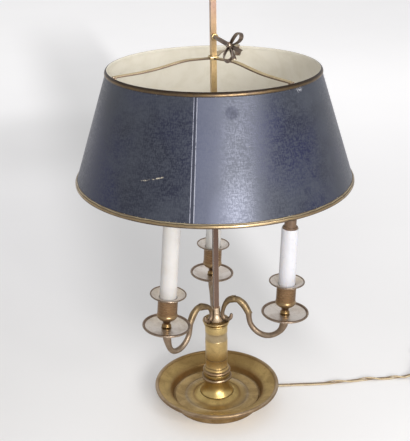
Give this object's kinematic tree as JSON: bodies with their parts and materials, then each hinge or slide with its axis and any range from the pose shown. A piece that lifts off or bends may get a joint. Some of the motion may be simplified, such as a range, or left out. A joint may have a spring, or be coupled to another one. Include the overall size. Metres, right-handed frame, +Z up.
{
  "type": "bouillotte table lamp",
  "caption": "Brass table lamp with candle arms on a dished base and a tapered metal shade that slides on a square rod, held by a ribbon-bow thumb screw.",
  "frame": {"origin": "centre of the foot ring, on the surface the lamp stands on; the cord and what is on it lie beside it", "axes": "+Z up along the column and the rod; -Y towards the viewer; +X to the viewer's right, the side the cord leaves on"},
  "size_m": [0.6841, 0.4026, 0.7019],
  "materials": {
    "base_brass": "spun brass with olive-brown patina, brighter where it is handled",
    "cover_board": "green baize-covered board",
    "steel": "plain turned steel",
    "column_brass": "turned brass, worn, brown in the hollows",
    "rod_brass": "drawn brass with a pinkish-brown patina",
    "arm_brass": "cast brass, brown patina with grey worn edges",
    "pan_brass": "spun brass, dull grey-beige, worn",
    "cup_brass": "turned brass with a red-brown patina",
    "candle_white": "opal white tube, satin",
    "holder_brown": "brown moulded lampholder",
    "bulb_glass": "clear glass",
    "shade_paint": "satin blue-grey paint outside, cream inside",
    "gilt": "gilt bead, rubbed brown",
    "carrier_brass": "brass, golden",
    "screw_bronze": "dark bronze patina",
    "cord_skin": "translucent gold-beige flex",
    "dark_plastic": "dark brown moulded plastic",
    "rocker_plastic": "black moulded plastic",
    "blade_brass": "plain sheet brass"
  },
  "bodies": {
    "lamp": {"base_dish": "base_brass", "base_cover": "cover_board", "threaded_tube": "steel", "lock_nut": "column_brass", "lock_washer": "steel", "column_foot": "column_brass", "column_knop": "column_brass", "column_ferrule": "column_brass", "column_shaft": "column_brass", "capital": "column_brass", "column_roof": "column_brass", "centre_rod": "rod_brass", "finial": "rod_brass", "arm_left": "arm_brass", "arm_right": "arm_brass", "arm_back": "arm_brass", "pan_left": "pan_brass", "pan_right": "pan_brass", "pan_back": "pan_brass", "cup_left": "cup_brass", "cup_right": "cup_brass", "cup_back": "cup_brass", "catcher_left": "pan_brass", "catcher_right": "pan_brass", "catcher_back": "pan_brass", "candle_left": "candle_white", "candle_right": "candle_white", "candle_back": "candle_white", "holder_left": "holder_brown", "holder_right": "holder_brown", "holder_back": "holder_brown", "bulb_left": "bulb_glass", "bulb_right": "bulb_glass", "bulb_back": "bulb_glass", "nipple_left": "steel", "nipple_right": "steel", "nipple_back": "steel", "cord_bushing": "dark_plastic", "cord_lead": "cord_skin", "switch_body": "dark_plastic", "cord_link": "cord_skin", "cord_coil": "cord_skin", "cord_tie": "dark_plastic", "cord_tail": "cord_skin", "plug_body": "dark_plastic", "plug_blades": "blade_brass"},
    "shade": {"shade_sleeve": "carrier_brass", "shade_spider": "carrier_brass", "shade_cone": "shade_paint", "shade_bead_top": "gilt", "shade_bead_low": "gilt", "shade_seam": "shade_paint"},
    "thumb_screw": {"screw_shank": "screw_bronze", "screw_bow": "screw_bronze"},
    "rocker": {"switch_rocker": "rocker_plastic"}
  },
  "joints": [
    {"name": "shade_slide", "type": "slide", "parent": "lamp", "child": "shade", "axis": [0, 0, 1], "range_m": [-0.09, 0.075]},
    {"name": "screw_turn", "type": "hinge", "parent": "shade", "child": "thumb_screw", "pos_m": [0, 0, 0.5865], "axis": [0.3007, -0.9537, 0], "range_deg": [0, 360]},
    {"name": "rocker_tilt", "type": "hinge", "parent": "lamp", "child": "rocker", "pos_m": [0.365, 0.0576, 0.0115], "axis": [0, 1, 0], "range_deg": [0, 16]}
  ]
}
